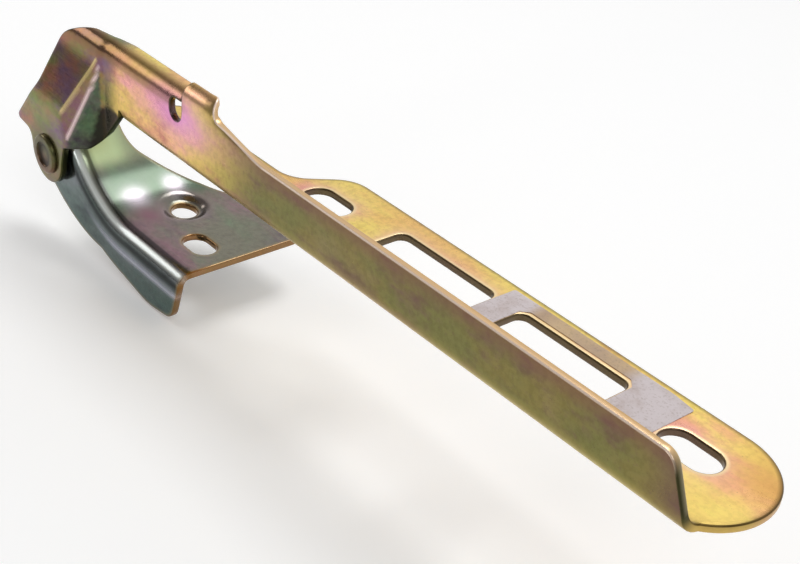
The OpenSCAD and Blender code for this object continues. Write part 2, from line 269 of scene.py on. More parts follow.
def pressed_sheet(place, outer, holes, fill, thick=SHEET, rim=RIM_R, step=LOOP_STEP):
    """A sheet of a given thickness on a mapped surface.

    place(u, v) gives the middle surface. Its normal is the cross product of its two slopes. The two faces are the
    flat outline, moved in by the rim's radius and triangulated with the fill points, put half a thickness to
    either side. Each loop's rim is a profile, quarter round, straight, quarter round, carried along the loop.
    Returns points, faces, the flat coordinates of each point, its share of the rim and its level, 1 on the
    normal's side and -1 on the other.
    """
    loops = [evenly(outer, step)] + [evenly(h, step)[::-1] for h in holes]
    edge = [moved_in(loop, rim) for loop in loops]
    band = [moved_in(loop, rim + BAND_IN) for loop in loops]
    keep = within(fill, loops) & (reach(fill, loops) > rim + FILL_IN)
    flat = np.concatenate(edge + band + [fill[keep]])
    sides, first = [], 0
    for loop in edge:
        i = np.arange(len(loop)) + first
        sides.append(np.stack([i, np.roll(i, -1)], -1))
        first += len(loop)
    made = delaunay_2d_cdt(flat.tolist(), np.concatenate(sides).tolist(), [], 0, 1e-5)
    flat_out = np.array(made[0])
    tri = np.array(made[2])
    source = np.full(len(flat), -1)
    olds = np.fromiter(chain.from_iterable(made[3]), int)
    source[olds] = np.repeat(np.arange(len(flat_out)), np.fromiter(map(len, made[3]), int))
    tri = tri[within(flat_out[tri].mean(1), edge)]
    a = flat_out[tri]
    area = np.cross(a[:, 1] - a[:, 0], a[:, 2] - a[:, 0])
    tri = np.where(area[:, None] < 0, tri[:, ::-1], tri)[np.abs(area) > 1e-7]

    def lifted(uv, up):
        h = 0.02
        du = place(uv[:, 0] + h, uv[:, 1]) - place(uv[:, 0] - h, uv[:, 1])
        dv = place(uv[:, 0], uv[:, 1] + h) - place(uv[:, 0], uv[:, 1] - h)
        normal = np.cross(du, dv)
        normal /= np.linalg.norm(normal, axis=1, keepdims=True)
        return place(uv[:, 0], uv[:, 1]) + up * normal

    count = len(flat_out)
    points = [lifted(flat_out, thick / 2), lifted(flat_out, -thick / 2)]
    where = [flat_out, flat_out]
    rims = [np.zeros(count), np.zeros(count)]
    levels = [np.ones(count), -np.ones(count)]
    faces = tri.tolist() + (tri[:, ::-1] + count).tolist()
    a = np.radians(np.array([30, 60, 90]))
    outs = rim * (1 - np.sin(a))
    ups = thick / 2 - rim * (1 - np.cos(a))
    profile = np.concatenate([np.stack([outs, ups], -1), np.stack([outs, -ups], -1)[::-1]])
    total, first = 2 * count, 0
    for loop in loops:
        size = len(loop)
        rings = [source[first : first + size]]
        for out, up in profile:
            uv = moved_in(loop, out)
            points.append(lifted(uv, up))
            where.append(uv)
            rims.append(np.ones(size))
            levels.append(np.full(size, 2 * up / thick))
            rings.append(np.arange(size) + total)
            total += size
        rings.append(source[first : first + size] + count)
        for r, s in zip(rings, rings[1:]):
            faces += np.stack([r, s, np.roll(s, -1), np.roll(r, -1)], -1).tolist()
        first += size
    return np.concatenate(points), faces, *map(np.concatenate, (where, rims, levels))


def turned(profile, count=96):
    """Surface of revolution round the pivot axis: profile of (radius, y) by angle.

    A profile that comes back to its start is joined there, and an end on the axis is closed by a fan.
    """
    r, y = np.array(profile, float).T
    a = np.linspace(0, 2 * math.pi, count, endpoint=False)
    ring = np.stack([np.outer(r, np.cos(a)), np.repeat(y[:, None], count, 1), np.outer(r, np.sin(a))], -1)
    at = np.arange(ring[..., 0].size).reshape(-1, count)
    at[r == 0] = at[r == 0][:, :1]
    if profile[0] == profile[-1]:
        at[-1] = at[0]
    quads = np.stack([at[:-1], at[1:], np.roll(at[1:], -1, 1), np.roll(at[:-1], -1, 1)], -1)
    used, quads = np.unique(quads, return_inverse=True)
    quads = quads.reshape(-1, 4)
    head, tail = quads[:, 0] == quads[:, 3], quads[:, 1] == quads[:, 2]
    faces = quads[~head & ~tail].tolist() + quads[head][:, :3].tolist() + quads[tail][:, [0, 1, 3]].tolist()
    return ring.reshape(-1, 3)[used], faces


# Arm


def flange_v(y):
    """Flat coordinate of a point of the slotted flange, y from the wall's outer face."""
    return FLAT_V + FOLD_R - y


def lip_v(y):
    """Flat coordinate of a point of the neck's top flange."""
    return TOP_V + FOLD_RUN + y - FOLD_R


def brim_at(u):
    """Flat coordinate where the wall starts to fold over, lower along the neck than on the tab."""
    return np.where(u < BRIM_STEP, TOP_V, TAB_V)


def neck_planes(x, z):
    """The neck's three planes over X and Z, as distances out from the wall: leaning plate, slanted strip and web."""
    plate = (PLATE_TOP - z) * EAR_OUT / PLATE_DROP
    strip = EAR_OUT - STRIP_BY_X * (x - STRIP_X) - STRIP_BY_Z * (z - STRIP_Z)
    web = EAR_OUT - WEB_BY_X * (x - WEB_X) - WEB_BY_Z * (z - WEB_Z)
    return plate, strip, web


def neck_depth(x, z):
    """How far the neck stands out from the wall: the least of its three planes and of the ear.

    The ridges between them are rounded over, and so is the valley at the wall.
    """
    plate, strip, web = neck_planes(x, z)
    depth = soft_min(soft_min(plate, strip, RIDGE_ROUND), web, RIDGE_ROUND)
    depth = soft_min(depth, np.full_like(depth, EAR_OUT), EAR_ROUND)
    return -soft_min(-depth, np.zeros_like(depth), VALLEY_ROUND)


def tuck(x, z):
    """0 to 1 over the foot of the neck, below an arched crease and right of the web's crease."""
    arch = ARCH_TOP - ARCH_BOW * (x - ARCH_X) ** 2
    return smooth(x - CREASE_X - CREASE_LEAN * (z - CREASE_Z), -0.3, 0.7) * smooth(arch - z, -0.2, 1.0)


def arm_surface(u, v):
    """Middle of the arm's sheet: wall and neck upright, folded to the slotted flange below and the lip above.

    The foot of the neck is tucked back by a slope, and the tab's leaning end is rolled back by a square law.
    """
    u, v = np.broadcast_arrays(np.asarray(u, float), np.asarray(v, float))
    brim = brim_at(u)
    wall_y = SHEET / 2 - np.where(u < NECK_END, neck_depth(u, np.minimum(v, brim)), 0)
    wall_y = wall_y + np.where(u < SLIT_X, TUCK_SLOPE * np.clip(ARCH_TOP - v, 0, TUCK_RUN) * tuck(u, v), 0)
    side = TAB_END + (TAB_V + FOLD_RUN - v) * TAB_LEAN - u
    roll = TAB_ROLL * np.clip(1 - side / TAB_ROLL_W, 0, 1) ** 2 * smooth(v, 44, 47.5)
    wall_y = wall_y + np.where((u > 80) & (v > 44), roll, 0)
    out = np.stack([u, wall_y, v], -1)
    start = FLAT_V + FOLD_RUN
    low = (u > SLIT_X) & (v < start)
    a = np.clip((start - v) / MID_R, 0, math.pi / 2)
    past = np.maximum(FLAT_V - v, 0)
    fold = np.stack([u, SHEET / 2 + MID_R * (1 - np.cos(a)) + past, start - MID_R * np.sin(a)], -1)
    b = np.clip((v - brim) / MID_R, 0, math.pi / 2)
    over = np.maximum(v - brim - FOLD_RUN, 0)
    lip = np.stack([u, wall_y + MID_R * (1 - np.cos(b)) + over, brim + MID_R * np.sin(b)], -1)
    return np.where(low[..., None], fold, np.where((v > brim)[..., None], lip, out))


def arm_outline():
    """The arm's flat outline: flange and tip, wall and tab, notch, neck and flared corner, ear, web."""
    end_x = ARM_L - TIP_R + math.sqrt(TIP_R**2 - (TIP_R - FOLD_R) ** 2)
    tip_turn = math.degrees(math.asin((TIP_R - FOLD_R) / TIP_R))
    flange = [
        (FLANGE_X, flange_v(FOLD_R + 1), 0),
        (FLANGE_X, flange_v(NARROW_W), 6),
        (99.4, flange_v(NARROW_W), 12),
        (111.4, flange_v(FLANGE_W), 12),
        (ARM_L - TIP_R, flange_v(FLANGE_W), 0),
    ]
    wall = [
        (end_x - 1.6, 29.0, 0),
        (275.4, ARM_TOP, 5),
        (115.4, ARM_TOP, 25),
        (90.0, 47.8, 4),
        (TAB_END, TAB_V + FOLD_RUN, 3),
        (NOTCH_END, TAB_V + FOLD_RUN, 1),
        (NOTCH_END, NOTCH_FOOT, 0),
    ]
    neck = [
        (NOTCH_X, NOTCH_FOOT, 0),
        (NOTCH_X, NOTCH_HEAD, 1.2),
        (LIP_END, NOTCH_HEAD, 0.6),
        (LIP_END, lip_v(NECK_FLANGE_W), 1),
        (32.0, lip_v(NECK_FLANGE_W), 20),
        (13.0, lip_v(5.4), 9),
        (-3.0, 43.6, 9),
        (-8.0, 23.0, 15),
        (-22.3, 6.1, 1.6),
        (-11.8, 4.5, 4),
        (-EAR_R, 0.0, 0),
    ]
    web = [
        (EAR_R, 0.0, 0),
        (12.9, 7.6, 0),
        (19.6, 9.0, 1.5),
        (33.9, 25.6, 1),
        (33.9, 28.5, 0.6),
        (FLANGE_X, 28.5, 0.6),
        (FLANGE_X, 26.0, 0),
    ]
    return np.concatenate(
        [
            rounded(flange),
            arc((ARM_L - TIP_R, flange_v(TIP_R)), TIP_R, -89, tip_turn, 60),
            rounded(wall),
            arc((NOTCH_X + NOTCH_W / 2, NOTCH_FOOT), NOTCH_W / 2, 0, -180),
            rounded(neck),
            arc((0, 0), EAR_R, 180, 360, 48),
            rounded(web),
        ]
    )


def window_loop(x):
    """Outline of a window from its near end, with rounded corners."""
    far, near, end = flange_v(FLANGE_W - RAIL_W), flange_v(WINDOW_Y), x + WINDOW_L
    return rounded([(x, far, WINDOW_R), (end, far, WINDOW_R), (end, near, WINDOW_R), (x, near, WINDOW_R)])


def arm_fill():
    """Points inside the arm's outline: close along the ridges, the head and the folds, wider on the flats."""
    ends = np.array([[(10.1, 20.2), (21.0, 43.4)], [(13.9, 11.9), (19.3, 30.7)]])
    along = np.linspace(ends[:, 0], ends[:, 1], 48, axis=1)
    across = (ends[:, 1] - ends[:, 0])[:, ::-1] * [1, -1]
    across /= np.linalg.norm(across, axis=1, keepdims=True)
    beside = np.array([-0.7, -0.3, 0, 0.3, 0.7])[:, None]
    ridges = (along[..., None, :] + across[:, None, None] * beside).reshape(-1, 2)
    head = grid(-24, 35, -12, 44, 1.0)
    low_rows = np.linspace(FLAT_V, FLAT_V + FOLD_RUN, 9)
    lip_rows = np.linspace(TOP_V, TOP_V + FOLD_RUN, 9)
    return np.concatenate(
        [
            ridges,
            head[reach(head, [ridges]) > 0.5],
            rows(np.arange(36, 290, 1.6), low_rows),
            rows(np.arange(-8, 72, 1.2), lip_rows),
            rows(np.arange(73.5, 90, 1.1), lip_rows + TAB_V - TOP_V),
            grid(35, 290, 30.2, 43.8, 2.2),
            grid(73, 92, 44.5, 48, 1.3),
            grid(36, 292, -13, 22.5, 2.2),
            grid(10, 66, 50.9, 55, 1.5),
        ]
    )


def arm_masks(flat, rim, level):
    """Where the arm's tints, painted shade and painted highlights lie, by name, over its flat coordinates.

    Level is 1 on the wall's front and the flange's underside, and -1 on the wall's back and the flange's top.
    """
    u, v = flat.T
    brim = brim_at(u)
    below_lip = 1 - smooth(v, brim + 1, brim + FOLD_RUN)
    wall = np.where(u < SLIT_X, below_lip, smooth(v, FLAT_V + 1, FLAT_V + FOLD_RUN) * below_lip)
    flange = (1 - wall) * (v < 35)
    plate, strip, web = neck_planes(u, v)
    least = np.minimum(np.minimum(plate, strip), web)
    slope = smooth(least, 0.1, 0.7) * (u < SLIT_X) * (1 - smooth(least, 9.6, 10.2))
    foot = np.where(u < SLIT_X, tuck(u, v), 0)
    near_slot = reach(flat, arm_holes[:2])
    near_hole = reach(flat, [evenly(hole, MASK_STEP) for hole in arm_holes[:4]])
    near_edge = reach(flat, [evenly(arm_outer, MASK_STEP)])
    # Painted highlights along the neck's two rounded ridges
    ridge = slope * bell(plate - strip, 0, 0.2) * smooth(web - strip, -0.3, 0.3)
    web_ridge = slope * bell(web - strip, 0, 0.2) * smooth(plate - strip, -0.3, 0.3) * (1 - foot)
    # Painted highlights along the wall's top edge and its end edge
    crest = rim * smooth(v, 38, 41) * (u > 73) * (1 - smooth(u, 273, 278))
    crest_line = crest * smooth(level, 0.45, 0.8)
    end_line = rim * smooth(-level, 0.45, 0.8) * smooth(u, 270, 276) * smooth(v, 29, 31)
    on_edge = near_edge < 0.6
    return {
        # Head and neck
        "head": 1 - smooth(u - 0.25 * (v - 30), 20, 32),
        # The web, where a dark coat is painted as shade
        "web": slope * smooth(np.minimum(strip, plate) - web, -0.15, 0.4),
        "strip": slope * smooth(np.minimum(plate, web) - strip, -0.15, 0.4),
        # Painted highlights along the neck's ridges
        "ridge": ridge,
        "web_ridge": web_ridge,
        # Painted shade: the tucked foot of the neck is painted near black
        "foot": foot,
        "ear": (1 - smooth(np.hypot(u, v), 8.5, 15)) * (u < SLIT_X),
        "neck": wall * (1 - smooth(u, 72, 118)) * smooth(u, 24, 36),
        "violet": wall * bell(u, 70, 15) * bell(v, 42, 7),
        # Painted shade along the lip's fold
        "brow": (u < NOTCH_END) * smooth(v, TOP_V - 2, TOP_V + 0.5) * (1 - smooth(v, TOP_V + 5, TOP_V + FOLD_RUN + 2)),
        # Painted shade along the tab's edges
        "tab": np.exp(-near_edge / 1.4) * (v > 44.5) * (u > NOTCH_END - 1),
        # Wall
        "wall": wall,
        "high": wall * smooth(v, 37.5, 43.0) * smooth(u, 92, 120),
        # Painted highlight along the fold between wall and flange
        "hem": (u > SLIT_X) * bell(v, 27.6, 1.7),
        "tail": wall * smooth(u, 266, 281),
        # Slotted flange
        "tip": flange * smooth(u, 240, 272) * smooth(v, 2, 18),
        "tip_side": flange * smooth(u, 262, 286) * (1 - smooth(v, -2, 10)),
        "blush": flange * np.clip(1.2 - near_slot / 8, 0, 1),
        "halo": flange * np.exp(-near_hole / 2.4),
        # Edges, with painted highlights and painted shade
        # Painted highlights on the wall's top and end edges
        "crest": crest,
        "crest_line": crest_line,
        "end_line": end_line,
        # Painted highlight just inside the holes' edges on the flange's top
        "line": (1 - rim) * bell(near_hole, RIM_R, 0.4) * (level < 0),
        # Painted shade: a dark line along the flange's far edge
        "outline": flange * bell(near_edge, 0, 0.9) * smooth(-level, 0.5, 0.75),
        # The cut edges' own dark tone, with painted shade in the holes
        "bore": rim * np.where(on_edge, 1 - flange, 1),
        "rim": rim * flange * on_edge,
        # All painted highlight lines, made less metallic so they read pale
        "bright": np.clip(crest_line + end_line + ridge + web_ridge, 0, 1),
    }


arm_outer = arm_outline()
arm_holes = [slot_loop(x, flange_v(SLOT_Y), SLOT_L, SLOT_W) for x in SLOT_XS]
arm_holes += [window_loop(x) for x in WINDOW_XS]
arm_holes.append(circle((0, 0), RIVET_D / 2 + SHANK_CLEAR))
points, faces, *flat_parts = pressed_sheet(arm_surface, arm_outer, arm_holes, arm_fill())
arm = new_piece("bonnet_arm_sheet", points, faces, "arm", "bonnet_arm")
paint(arm, arm_masks(*flat_parts))


# Bracket


def bracket_surface(s, v):
    """Middle of the bracket's sheet: the base, its dish and the side flange, carried along flat then up the ramp."""
    s, v = np.broadcast_arrays(np.asarray(s, float), np.asarray(v, float))
    a = np.clip(-v / MID_R, 0, math.pi / 2)
    y = BASE_Y0 + np.maximum(v, 0) - MID_R * np.sin(a)
    down = SHEET / 2 + MID_R * (1 - np.cos(a)) + np.maximum(-v - FOLD_RUN, 0)
    r = np.hypot(s - HOLE[0], y - HOLE[1])
    down = down + np.where(v > 0, DISH_H * (1 - smooth(r, HOLE_D / 2 + 1.2, DISH_D / 2 + 0.6)), 0)
    turn = np.maximum(RAMP_X - s, 0) / RAMP_R
    x = np.where(s > RAMP_X, s, RAMP_X - (RAMP_R + down) * np.sin(turn))
    z = RAMP_R - BASE_DROP - (RAMP_R + down) * np.cos(turn)
    return np.stack([x, y, z], -1)


def side_flat(points):
    """Flat coordinates of points given in X and Z on the side flange or its fold."""
    x, z = np.asarray(points, float).T
    on_ramp = x < RAMP_X
    lift = RAMP_R - BASE_DROP - z
    turn = np.where(on_ramp, np.arctan2(RAMP_X - x, lift), 0)
    down = np.where(on_ramp, np.hypot(RAMP_X - x, lift) - RAMP_R, -BASE_DROP - z)
    bend = np.arccos(np.clip(1 - (down - SHEET / 2) / MID_R, 0, 1))
    v = np.where(down < FOLD_R, -MID_R * bend, FOLD_R - down - FOLD_RUN)
    return np.stack([np.where(on_ramp, RAMP_X - RAMP_R * turn, x), v], -1)


def base_flat(points):
    """Flat coordinates of points given in X and Y on the base plate."""
    x, y = np.asarray(points, float).T
    up = np.arcsin(np.clip((RAMP_X - x) / RAMP_R, 0, 1))
    return np.stack([np.where(x < RAMP_X, RAMP_X - RAMP_R * up, x), y - BASE_Y0], -1)


def bracket_outline():
    """The bracket's flat outline: base plate and ramp, ear, then the side flange back to the base's end."""
    ear_start = math.degrees(math.asin(math.sqrt(1 - (RAMP_END / BRACKET_EAR_R) ** 2)))
    base = [
        (BASE_L, BASE_Y0, 0),
        (BASE_L, BASE_W, 6),
        (47.0, 43.0, 10),
        (33.0, 33.0, 12),
        (15.0, 15.0, 14),
        (RAMP_END, 13.0, 2),
        (RAMP_END, BASE_Y0, 0),
    ]
    side_end = (BASE_L, -BASE_DROP - FOLD_R)
    side = [(-7.2, -9.6, 0), (35.0, -26.0, 40), (62.0, -31.2, 30), (77.4, -29.2, 6), (*side_end, 0)]
    return np.concatenate(
        [
            base_flat(rounded(base)),
            side_flat(arc((0, 0), BRACKET_EAR_R, ear_start, BRACKET_EAR_TURN, 60)),
            side_flat(rounded(side, 24)[:-1]),
            side_flat([side_end]),
        ]
    )


def bracket_fill():
    """Points inside the bracket's outline: rings round the dish, rows along the fold, grids on the flats."""
    dish_rings = [base_flat(circle(HOLE, r, 72)) for r in np.arange(6.4, 11.5, 0.6)]
    base = grid(-2, 81, 0.7, 48, 1.5)
    fold = rows(np.arange(-14, 81, 1.2), -np.linspace(0, FOLD_RUN, 9))
    side = grid(-16, 81, -34, -FOLD_RUN - 0.6, 1.6)
    return np.concatenate(dish_rings + [fold, side, base[reach(base, dish_rings) > 0.7]])


def bracket_masks(flat, rim):
    """Where the bracket's tints, painted light, painted highlights and painted shade lie, by name, over its flat
    coordinates.
    """
    s, v = flat.T
    y = v + BASE_Y0
    # Painted highlight along the middle of the side flange
    seam = bell(v, -9.6, 1.2) * smooth(s, 20, 44)
    near_loop = reach(flat, [evenly(loop, MASK_STEP) for loop in [bracket_outer] + bracket_holes[:2]])
    return {
        "side": 1 - smooth(v, -FOLD_RUN, -0.6),
        # Painted light: the ramp's lower part painted pale green as if lit
        "ramp": (1 - smooth(s, 12, 21)) * smooth(v, -3.5, 0) * (1 - 0.6 * smooth(v, 9, 17)),
        # Painted shade across the ramp, between its painted highlights
        "band": smooth(s, 14, 22) * (1 - smooth(s, 33, 41)) * smooth(v, -2, 1),
        # Painted highlights: two pale blobs on the ramp
        "glow": bell(s, 32.4, 4.4) * bell(y, 7.4, 4.2) + bell(s, 31, 4) * bell(y, 23.6, 3.2),
        # Painted highlight along the fold's crest
        "fold_line": bell(v, -2.7, 0.9) * smooth(s, 0, 8),
        # Painted dark reflections in bands beside the fold's highlight
        "fold_dark": bell(v, -0.3, 0.9) + bell(v, -5.6, 1.3),
        "blot": bell(s, 42, 6) * bell(y, 7, 4.5),
        "seam": seam,
        # Where the painted light on the ramp and side is made less metallic
        "bare": (1 - smooth(s, 24, 40)) * smooth(v, -3, 0) + seam,
        # Painted highlight beside the slot, the hole and the outline
        "line": (1 - rim) * bell(near_loop, RIM_R, 0.4),
        # The cut edges' own brown tone, with painted shade in the holes
        "bore": rim,
        "ring": 1 - smooth(np.abs(np.hypot(s - HOLE[0], y - HOLE[1]) - DISH_D / 2), 0, 4),
    }


bracket_outer = bracket_outline()
slot_x, slot_y, slot_l = BASE_SLOT
bracket_holes = [
    base_flat(circle(HOLE, HOLE_D / 2)),
    base_flat(slot_loop(slot_x, slot_y, slot_l, HOLE_D)),
    side_flat(circle((0, 0), RIVET_D / 2)),
]
points, faces, *flat_parts = pressed_sheet(bracket_surface, bracket_outer, bracket_holes, bracket_fill())
bracket = new_piece("body_bracket_sheet", points, faces, "bracket", "body_bracket")
paint(bracket, bracket_masks(*flat_parts[:2]))


# Rivet and washer


def rivet_profile(ear_face, head_face):
    """The rivet's (radius, y) profile: a dished head with a rounded rim, the shank and a second rounded head."""
    bow = np.radians(np.linspace(0, 90, 7))
    top, foot = ear_face - HEAD_H, head_face + HEAD_H - HEAD_ROUND
    rim_r = HEAD_D / 2 - HEAD_ROUND
    dish = [(HEAD_DISH_R + HEAD_DISH_W * math.sin(b), top + HEAD_DISH_H * math.cos(b)) for b in bow]
    near = [(rim_r + HEAD_ROUND * math.sin(b), top + HEAD_ROUND * (1 - math.cos(b))) for b in bow]
    far = [(HEAD_D / 2 - HEAD_ROUND * (1 - math.cos(b)), foot + HEAD_ROUND * math.sin(b)) for b in bow]
    shank = [(HEAD_D / 2, ear_face), (RIVET_D / 2, ear_face), (RIVET_D / 2, head_face), (HEAD_D / 2, head_face)]
    floor_y = top + HEAD_DISH_H
    return [(0, floor_y), (HEAD_DISH_R, floor_y), *dish, *near, *shank, *far, (0, head_face + HEAD_H)]


ear_face = -EAR_OUT - SIDE_CLEAR
points, faces = turned(rivet_profile(ear_face, SIDE_Y + SHEET))
rivet = new_piece("pivot_rivet_turned", points, faces, "bracket", "pivot_rivet", 35)
rivet_r = np.hypot(*points.T[[0, 2]])
# Painted shade in the rivet head's dish
paint(rivet, {"dish": (points[:, 1] < ear_face) * smooth(rivet_r, 2.2, 3.2) * (1 - smooth(rivet_r, 4.2, 5.0))})

washer_y = -EAR_OUT + SHEET + SIDE_CLEAR
washer_profile = [
    (RIVET_D / 2, washer_y),
    (HEAD_D / 2 - WASHER_EDGE, washer_y),
    (HEAD_D / 2, washer_y + WASHER_EDGE),
    (HEAD_D / 2, SIDE_Y - WASHER_EDGE),
    (HEAD_D / 2 - WASHER_EDGE, SIDE_Y),
    (RIVET_D / 2, SIDE_Y),
    (RIVET_D / 2, washer_y),
]
points, faces = turned(washer_profile)
washer = new_piece("spacer_washer_turned", points, faces, "bracket", "spacer_washer", 35)

# Bare label

label_loop = rounded(
    [
        (187.2, WINDOW_Y + 9.4, 0.6),
        (196.2, WINDOW_Y + 9.4, 0.6),
        (196.2, 31.6, 0.8),
        (198.5, 33.9, 0.8),
        (236.0, 33.9, 0.8),
        (238.4, 31.6, 0.8),
        (238.6, 12.6, 0.6),
        (254.0, 12.6, 0.6),
        (254.4, 37.6, 0.8),
        (247.0, 38.6, 1.5),
        (187.4, 38.6, 0.8),
    ]
)


def label_surface(u, v):
    """The label lies on the slotted flange's top face, lifted a little in slow waves."""
    u, v = np.broadcast_arrays(np.asarray(u, float), np.asarray(v, float))
    wave = LABEL_WAVE * (1 + np.sin(u * 0.31 + v * 0.7) * np.sin(v * 0.45 - u * 0.12))
    return np.stack([u, v, ARM_LIFT + LABEL_T / 2 + wave], -1)


label_fill = grid(186, 256, 11, 41, 1.2)
points, faces, flat, *_ = pressed_sheet(label_surface, label_loop, [], label_fill, LABEL_T, LABEL_RIM, LABEL_STEP)
label = new_piece("bare_label", points, faces, "arm")
paint(label, {"rail": smooth(flat[:, 0], 196, 201) * (1 - smooth(flat[:, 0], 232, 238))})


# Shader helpers


def group(name, inputs, outputs):
    """An empty shader node group with named sockets, each input given as name: (type, default)."""
    tree = bpy.data.node_groups.new(name, "ShaderNodeTree")
    for socket, (kind, default) in inputs.items():
        made = tree.interface.new_socket(socket, in_out="INPUT", socket_type="NodeSocket" + kind)
        if default is not None:
            made.default_value = default
    for socket, kind in outputs.items():
        tree.interface.new_socket(socket, in_out="OUTPUT", socket_type="NodeSocket" + kind)
    return tree, tree.nodes.new("NodeGroupInput"), tree.nodes.new("NodeGroupOutput")


def put(tree, kind, settings=None, **links):
    """A node with its settings, and its inputs joined to sockets or set to values.

    An input is given by its name, with _ for a space, or by i and its number.
    """
    node = tree.nodes.new(kind)
    for key, value in (settings or {}).items():
        setattr(node, key, value)
    for key, value in links.items():
        key = key.replace("_", " ")
        socket = node.inputs[int(key[1:])] if key[0] == "i" and key[1:].isdigit() else node.inputs[key]
        if isinstance(value, bpy.types.NodeSocket):
            tree.links.new(value, socket)
        else:
            socket.default_value = value
    return node


def math_node(tree, how, a, b=0.0, clamp=False):
    """The result of a math operation on two values or sockets."""
    return put(tree, "ShaderNodeMath", {"operation": how, "use_clamp": clamp}, i0=a, i1=b).outputs[0]


def vector_node(tree, how, a, b):
    """The result of a vector operation on two vectors or sockets."""
    return put(tree, "ShaderNodeVectorMath", {"operation": how}, i0=a, i1=b).outputs[0]


def mix(tree, factor, a, b, how="MIX"):
    """Colour a turned towards colour b by a factor."""
    return put(tree, "ShaderNodeMix", {"data_type": "RGBA", "blend_type": how}, i0=factor, i6=a, i7=b).outputs[2]


def shaded(tree, factor, share, colour, by):
    """A colour multiplied by another, where and as far as a factor and its share say."""
    return mix(tree, math_node(tree, "MULTIPLY", factor, share), colour, mix(tree, 1.0, colour, by, "MULTIPLY"))


def noise(tree, vector, scale, detail=3.0, rough=0.55, distort=0.0):
    """Noise from 0 to 1 at a scale in cycles to the metre."""
    return put(
        tree, "ShaderNodeTexNoise", Vector=vector, Scale=scale, Detail=detail, Roughness=rough, Distortion=distort
    ).outputs["Fac"]


def ramp(tree, value, low, high):
    """0 below low, 1 above high, smooth between."""
    return put(
        tree, "ShaderNodeMapRange", {"interpolation_type": "SMOOTHSTEP"}, Value=value, i1=low, i2=high
    ).outputs[0]


def rgb(r, g, b):
    """Linear colour from the usual 0 to 255 values."""
    c = np.array([r, g, b]) / 255
    lin = np.where(c <= 0.04045, c / 12.92, ((c + 0.055) / 1.055) ** 2.4)
    return (*lin.tolist(), 1.0)


# Passivated zinc


def share_mask(tree, patch, share):
    """Where a patch noise passes a level that falls as its share grows."""
    level = math_node(tree, "SUBTRACT", 0.78, math_node(tree, "MULTIPLY", share, 0.62))
    return ramp(tree, patch, math_node(tree, "SUBTRACT", level, 0.12), math_node(tree, "ADD", level, 0.12))


def zinc_group():
    """The shared finish: a base tint that drifts through three others in soft patches, with streaks and flecks."""
    tree, given, made = group(
        "passivated_zinc",
        {
            "Vector": ("Vector", None),
            "Tint": ("Color", rgb(200, 180, 100)),
            "Warm": ("Color", rgb(210, 150, 130)),
            "Cool": ("Color", rgb(150, 170, 120)),
            "Deep": ("Color", rgb(130, 90, 90)),
            "Warm Share": ("Float", 0.3),
            "Cool Share": ("Float", 0.3),
            "Deep Share": ("Float", 0.2),
            "Satin": ("Float", 0.3),
        },
        {"Color": "Color", "Roughness": "Float", "Height": "Float"},
    )
    inputs = given.outputs
    vec = inputs["Vector"]
    drift = vector_node(tree, "MULTIPLY", vec, (0.45, 1.0, 1.0))
    warm = noise(tree, drift, 38, 4, 0.6, distort=0.6)
    cool = noise(tree, vector_node(tree, "ADD", drift, (3.1, 1.7, 5.3)), 55, 4, 0.6)
    deep = noise(tree, vector_node(tree, "ADD", drift, (7.9, 4.2, 0.6)), 90, 4, 0.65)
    streak = noise(tree, vector_node(tree, "MULTIPLY", vec, (90, 1500, 1500)), 1.0, 3)
    grain = noise(tree, vec, 1600, 2)
    mottle = noise(tree, vec, 480, 4, 0.62)
    fleck = ramp(tree, noise(tree, vec, 760, 3, 0.6), 0.55, 0.7)
    speck = ramp(tree, noise(tree, vec, 1250, 2), 0.68, 0.75)

    tone = inputs["Tint"]
    for name, patch in (("Warm", warm), ("Cool", cool), ("Deep", deep)):
        tone = mix(tree, share_mask(tree, patch, inputs[name + " Share"]), tone, inputs[name])
    tone = mix(tree, math_node(tree, "MULTIPLY", fleck, 0.28), tone, inputs["Deep"])
    tone = shaded(tree, streak, 0.3, tone, rgb(216, 210, 190))
    tone = shaded(tree, ramp(tree, mottle, 0.4, 0.64), 0.36, tone, rgb(206, 200, 196))
    tone = mix(tree, math_node(tree, "MULTIPLY", speck, 0.35), tone, rgb(84, 70, 54))
    tree.links.new(tone, made.inputs["Color"])

    satin = math_node(tree, "ADD", inputs["Satin"], math_node(tree, "MULTIPLY", cool, 0.16))
    satin = math_node(tree, "ADD", satin, math_node(tree, "MULTIPLY", grain, 0.08))
    tree.links.new(math_node(tree, "SUBTRACT", satin, 0.12), made.inputs["Roughness"])

    relief = math_node(tree, "ADD", math_node(tree, "MULTIPLY", streak, 0.6), math_node(tree, "MULTIPLY", grain, 0.5))
    relief = math_node(tree, "ADD", relief, math_node(tree, "MULTIPLY", mottle, 0.5))
    tree.links.new(relief, made.inputs["Height"])
    return tree


zinc = zinc_group()
METAL = 0.9


def new_material(name):
    """A material with a Principled shader, its Object coordinates and a reader for the mesh's masks."""
    material = bpy.data.materials.new(name)
    material.use_nodes = True
    tree = material.node_tree
    shader = tree.nodes["Principled BSDF"]
    where = tree.nodes.new("ShaderNodeTexCoord").outputs["Object"]
    masks = {}

    def mask(attribute, share=1.0):
        if attribute not in masks:
            masks[attribute] = put(tree, "ShaderNodeAttribute", {"attribute_name": attribute}).outputs["Fac"]
        return math_node(tree, "MULTIPLY", masks[attribute], share) if share != 1 else masks[attribute]

    return material, tree, shader, where, mask


